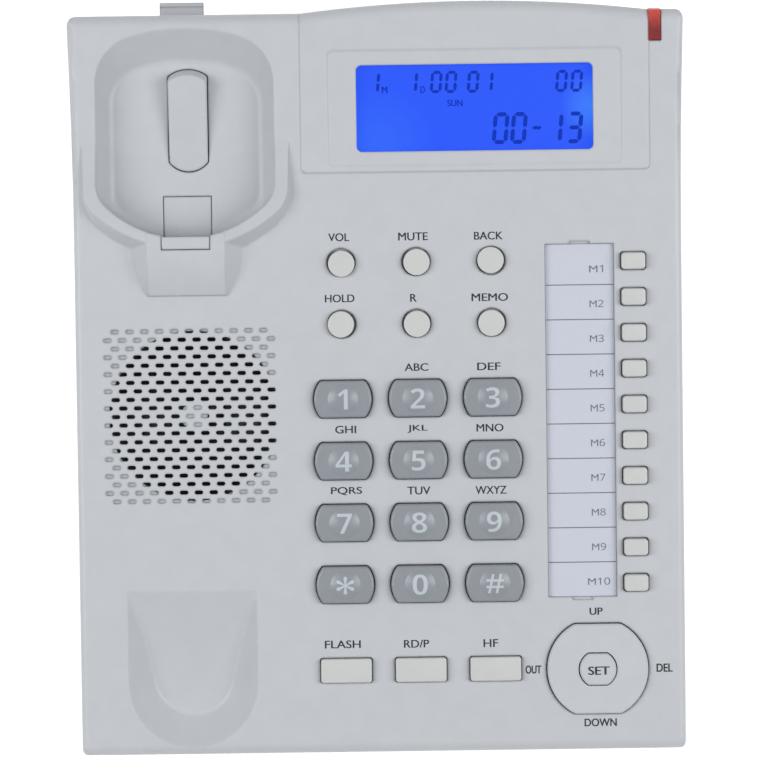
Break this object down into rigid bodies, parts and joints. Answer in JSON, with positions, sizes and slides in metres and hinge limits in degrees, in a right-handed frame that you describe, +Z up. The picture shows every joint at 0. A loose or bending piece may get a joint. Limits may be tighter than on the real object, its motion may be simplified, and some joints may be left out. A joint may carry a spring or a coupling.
{
  "type": "corded telephone base",
  "caption": "Corded desk telephone base: handset cradle, display, number and memory keys, four-way ring, index card, jacks and a hinged desk stand.",
  "frame": {"origin": "middle of the whole telephone's footprint, on the table", "axes": "+X to the user's right, +Y away from the user, +Z up; the deck rises 9 degrees towards +Y"},
  "size_m": [0.1782, 0.2218, 0.0618],
  "materials": {
    "housing": "fine texture",
    "number_key": "smooth",
    "light_key": "smooth",
    "ring": "smooth",
    "clear": "clear polycarbonate",
    "lcd": "lit blue",
    "lens": "translucent red",
    "card": "plain",
    "board": "glass-epoxy board",
    "membrane_rubber": "silicone",
    "feet_rubber": "soft",
    "black_plastic": "moulded",
    "steel": "plated",
    "cell": "plain sleeve"
  },
  "bodies": {
    "base_unit": {"batteries": "cell", "battery_contacts": "steel", "bottom_housing": "housing", "case_screws": "steel", "display_bezel": "housing", "display_board": "board", "display_window": "clear", "front_feet": "feet_rubber", "handset_jack": "black_plastic", "hook_lever_spring": "steel", "hook_switch": "black_plastic", "index_card": "card", "indicator_lens": "lens", "keypad_membrane": "membrane_rubber", "lcd_module": "lcd", "line_jack": "black_plastic", "main_board": "board", "microphone": "black_plastic", "speaker": "black_plastic", "top_housing": "housing"},
    "key_1": {"key_1": "number_key"},
    "key_2": {"key_2": "number_key"},
    "key_3": {"key_3": "number_key"},
    "key_4": {"key_4": "number_key"},
    "key_5": {"key_5": "number_key"},
    "key_6": {"key_6": "number_key"},
    "key_7": {"key_7": "number_key"},
    "key_8": {"key_8": "number_key"},
    "key_9": {"key_9": "number_key"},
    "key_star": {"key_star": "number_key"},
    "key_0": {"key_0": "number_key"},
    "key_hash": {"key_hash": "number_key"},
    "volume_button": {"volume_button": "light_key"},
    "mute_button": {"mute_button": "light_key"},
    "back_button": {"back_button": "light_key"},
    "hold_button": {"hold_button": "light_key"},
    "recall_button": {"recall_button": "light_key"},
    "memo_button": {"memo_button": "light_key"},
    "flash_key": {"flash_key": "light_key"},
    "redial_key": {"redial_key": "light_key"},
    "handsfree_key": {"handsfree_key": "light_key"},
    "memory_key_1": {"memory_key_1": "light_key"},
    "memory_key_2": {"memory_key_2": "light_key"},
    "memory_key_3": {"memory_key_3": "light_key"},
    "memory_key_4": {"memory_key_4": "light_key"},
    "memory_key_5": {"memory_key_5": "light_key"},
    "memory_key_6": {"memory_key_6": "light_key"},
    "memory_key_7": {"memory_key_7": "light_key"},
    "memory_key_8": {"memory_key_8": "light_key"},
    "memory_key_9": {"memory_key_9": "light_key"},
    "memory_key_10": {"memory_key_10": "light_key"},
    "set_button": {"set_button": "light_key"},
    "navigation_pivot": {"navigation_pivot": "membrane_rubber"},
    "navigation_ring": {"navigation_ring": "ring"},
    "hook_switch_lever": {"hook_switch_lever": "housing"},
    "handset_hook": {"handset_hook": "housing"},
    "index_card_cover": {"index_card_cover": "clear"},
    "battery_door": {"battery_door": "housing"},
    "desk_stand": {"desk_stand": "housing", "stand_feet": "feet_rubber"}
  },
  "joints": [
    {"name": "key_1_press", "type": "slide", "parent": "base_unit", "child": "key_1", "axis": [0, 0.1564, -0.9877], "range_m": [0, 0.0012], "stiffness_N_per_m": 500, "springref_m": -0.0005, "deforming": ["keypad_membrane"]},
    {"name": "key_2_press", "type": "slide", "parent": "base_unit", "child": "key_2", "axis": [0, 0.1564, -0.9877], "range_m": [0, 0.0012], "stiffness_N_per_m": 500, "springref_m": -0.0005, "deforming": ["keypad_membrane"]},
    {"name": "key_3_press", "type": "slide", "parent": "base_unit", "child": "key_3", "axis": [0, 0.1564, -0.9877], "range_m": [0, 0.0012], "stiffness_N_per_m": 500, "springref_m": -0.0005, "deforming": ["keypad_membrane"]},
    {"name": "key_4_press", "type": "slide", "parent": "base_unit", "child": "key_4", "axis": [0, 0.1564, -0.9877], "range_m": [0, 0.0012], "stiffness_N_per_m": 500, "springref_m": -0.0005, "deforming": ["keypad_membrane"]},
    {"name": "key_5_press", "type": "slide", "parent": "base_unit", "child": "key_5", "axis": [0, 0.1564, -0.9877], "range_m": [0, 0.0012], "stiffness_N_per_m": 500, "springref_m": -0.0005, "deforming": ["keypad_membrane"]},
    {"name": "key_6_press", "type": "slide", "parent": "base_unit", "child": "key_6", "axis": [0, 0.1564, -0.9877], "range_m": [0, 0.0012], "stiffness_N_per_m": 500, "springref_m": -0.0005, "deforming": ["keypad_membrane"]},
    {"name": "key_7_press", "type": "slide", "parent": "base_unit", "child": "key_7", "axis": [0, 0.1564, -0.9877], "range_m": [0, 0.0012], "stiffness_N_per_m": 500, "springref_m": -0.0005, "deforming": ["keypad_membrane"]},
    {"name": "key_8_press", "type": "slide", "parent": "base_unit", "child": "key_8", "axis": [0, 0.1564, -0.9877], "range_m": [0, 0.0012], "stiffness_N_per_m": 500, "springref_m": -0.0005, "deforming": ["keypad_membrane"]},
    {"name": "key_9_press", "type": "slide", "parent": "base_unit", "child": "key_9", "axis": [0, 0.1564, -0.9877], "range_m": [0, 0.0012], "stiffness_N_per_m": 500, "springref_m": -0.0005, "deforming": ["keypad_membrane"]},
    {"name": "key_star_press", "type": "slide", "parent": "base_unit", "child": "key_star", "axis": [0, 0.1564, -0.9877], "range_m": [0, 0.0012], "stiffness_N_per_m": 500, "springref_m": -0.0005, "deforming": ["keypad_membrane"]},
    {"name": "key_0_press", "type": "slide", "parent": "base_unit", "child": "key_0", "axis": [0, 0.1564, -0.9877], "range_m": [0, 0.0012], "stiffness_N_per_m": 500, "springref_m": -0.0005, "deforming": ["keypad_membrane"]},
    {"name": "key_hash_press", "type": "slide", "parent": "base_unit", "child": "key_hash", "axis": [0, 0.1564, -0.9877], "range_m": [0, 0.0012], "stiffness_N_per_m": 500, "springref_m": -0.0005, "deforming": ["keypad_membrane"]},
    {"name": "volume_button_press", "type": "slide", "parent": "base_unit", "child": "volume_button", "axis": [0, 0.1564, -0.9877], "range_m": [0, 0.0012], "stiffness_N_per_m": 500, "springref_m": -0.0005, "deforming": ["keypad_membrane"]},
    {"name": "mute_button_press", "type": "slide", "parent": "base_unit", "child": "mute_button", "axis": [0, 0.1564, -0.9877], "range_m": [0, 0.0012], "stiffness_N_per_m": 500, "springref_m": -0.0005, "deforming": ["keypad_membrane"]},
    {"name": "back_button_press", "type": "slide", "parent": "base_unit", "child": "back_button", "axis": [0, 0.1564, -0.9877], "range_m": [0, 0.0012], "stiffness_N_per_m": 500, "springref_m": -0.0005, "deforming": ["keypad_membrane"]},
    {"name": "hold_button_press", "type": "slide", "parent": "base_unit", "child": "hold_button", "axis": [0, 0.1564, -0.9877], "range_m": [0, 0.0012], "stiffness_N_per_m": 500, "springref_m": -0.0005, "deforming": ["keypad_membrane"]},
    {"name": "recall_button_press", "type": "slide", "parent": "base_unit", "child": "recall_button", "axis": [0, 0.1564, -0.9877], "range_m": [0, 0.0012], "stiffness_N_per_m": 500, "springref_m": -0.0005, "deforming": ["keypad_membrane"]},
    {"name": "memo_button_press", "type": "slide", "parent": "base_unit", "child": "memo_button", "axis": [0, 0.1564, -0.9877], "range_m": [0, 0.0012], "stiffness_N_per_m": 500, "springref_m": -0.0005, "deforming": ["keypad_membrane"]},
    {"name": "flash_key_press", "type": "slide", "parent": "base_unit", "child": "flash_key", "axis": [0, 0.1564, -0.9877], "range_m": [0, 0.0012], "stiffness_N_per_m": 500, "springref_m": -0.0005, "deforming": ["keypad_membrane"]},
    {"name": "redial_key_press", "type": "slide", "parent": "base_unit", "child": "redial_key", "axis": [0, 0.1564, -0.9877], "range_m": [0, 0.0012], "stiffness_N_per_m": 500, "springref_m": -0.0005, "deforming": ["keypad_membrane"]},
    {"name": "handsfree_key_press", "type": "slide", "parent": "base_unit", "child": "handsfree_key", "axis": [0, 0.1564, -0.9877], "range_m": [0, 0.0012], "stiffness_N_per_m": 500, "springref_m": -0.0005, "deforming": ["keypad_membrane"]},
    {"name": "memory_key_1_press", "type": "slide", "parent": "base_unit", "child": "memory_key_1", "axis": [0, 0.1564, -0.9877], "range_m": [0, 0.0012], "stiffness_N_per_m": 500, "springref_m": -0.0005, "deforming": ["keypad_membrane"]},
    {"name": "memory_key_2_press", "type": "slide", "parent": "base_unit", "child": "memory_key_2", "axis": [0, 0.1564, -0.9877], "range_m": [0, 0.0012], "stiffness_N_per_m": 500, "springref_m": -0.0005, "deforming": ["keypad_membrane"]},
    {"name": "memory_key_3_press", "type": "slide", "parent": "base_unit", "child": "memory_key_3", "axis": [0, 0.1564, -0.9877], "range_m": [0, 0.0012], "stiffness_N_per_m": 500, "springref_m": -0.0005, "deforming": ["keypad_membrane"]},
    {"name": "memory_key_4_press", "type": "slide", "parent": "base_unit", "child": "memory_key_4", "axis": [0, 0.1564, -0.9877], "range_m": [0, 0.0012], "stiffness_N_per_m": 500, "springref_m": -0.0005, "deforming": ["keypad_membrane"]},
    {"name": "memory_key_5_press", "type": "slide", "parent": "base_unit", "child": "memory_key_5", "axis": [0, 0.1564, -0.9877], "range_m": [0, 0.0012], "stiffness_N_per_m": 500, "springref_m": -0.0005, "deforming": ["keypad_membrane"]},
    {"name": "memory_key_6_press", "type": "slide", "parent": "base_unit", "child": "memory_key_6", "axis": [0, 0.1564, -0.9877], "range_m": [0, 0.0012], "stiffness_N_per_m": 500, "springref_m": -0.0005, "deforming": ["keypad_membrane"]},
    {"name": "memory_key_7_press", "type": "slide", "parent": "base_unit", "child": "memory_key_7", "axis": [0, 0.1564, -0.9877], "range_m": [0, 0.0012], "stiffness_N_per_m": 500, "springref_m": -0.0005, "deforming": ["keypad_membrane"]},
    {"name": "memory_key_8_press", "type": "slide", "parent": "base_unit", "child": "memory_key_8", "axis": [0, 0.1564, -0.9877], "range_m": [0, 0.0012], "stiffness_N_per_m": 500, "springref_m": -0.0005, "deforming": ["keypad_membrane"]},
    {"name": "memory_key_9_press", "type": "slide", "parent": "base_unit", "child": "memory_key_9", "axis": [0, 0.1564, -0.9877], "range_m": [0, 0.0012], "stiffness_N_per_m": 500, "springref_m": -0.0005, "deforming": ["keypad_membrane"]},
    {"name": "memory_key_10_press", "type": "slide", "parent": "base_unit", "child": "memory_key_10", "axis": [0, 0.1564, -0.9877], "range_m": [0, 0.0012], "stiffness_N_per_m": 500, "springref_m": -0.0005, "deforming": ["keypad_membrane"]},
    {"name": "set_button_press", "type": "slide", "parent": "base_unit", "child": "set_button", "axis": [0, 0.1564, -0.9877], "range_m": [0, 0.0012], "stiffness_N_per_m": 500, "springref_m": -0.0005, "deforming": ["keypad_membrane"]},
    {"name": "navigation_up_down", "type": "hinge", "parent": "base_unit", "child": "navigation_pivot", "pos_m": [0.06235, -0.08723, 0.02894], "axis": [1, 0, 0], "range_deg": [-3, 3], "stiffness_Nm_per_rad": 0.5, "deforming": ["keypad_membrane"]},
    {"name": "navigation_left_right", "type": "hinge", "parent": "navigation_pivot", "child": "navigation_ring", "pos_m": [0.06235, -0.08723, 0.02894], "axis": [0, 0.9877, 0.1564], "range_deg": [-3, 3], "stiffness_Nm_per_rad": 0.5, "deforming": ["keypad_membrane"]},
    {"name": "hook_lever_hinge", "type": "hinge", "parent": "base_unit", "child": "hook_switch_lever", "pos_m": [-0.0547, 0.06071, 0.04225], "axis": [-1, 0, 0], "range_deg": [0, 11], "stiffness_Nm_per_rad": 0.05, "springref_deg": -11.46, "deforming": ["hook_lever_spring"]},
    {"name": "handset_hook_slide", "type": "slide", "parent": "base_unit", "child": "handset_hook", "axis": [0, -0.1564, 0.9877], "range_m": [0, 0.012]},
    {"name": "index_card_cover_lift", "type": "slide", "parent": "base_unit", "child": "index_card_cover", "axis": [0, -0.1564, 0.9877], "range_m": [0, 0.006]},
    {"name": "battery_door_hinge", "type": "hinge", "parent": "base_unit", "child": "battery_door", "pos_m": [0.029, -0.04615, 0.01348], "axis": [1, 0, 0], "range_deg": [0, 25]},
    {"name": "desk_stand_hinge", "type": "hinge", "parent": "base_unit", "child": "desk_stand", "pos_m": [0, -0.00313, 0.01776], "axis": [-1, 0, 0], "range_deg": [0, 25]}
  ]
}
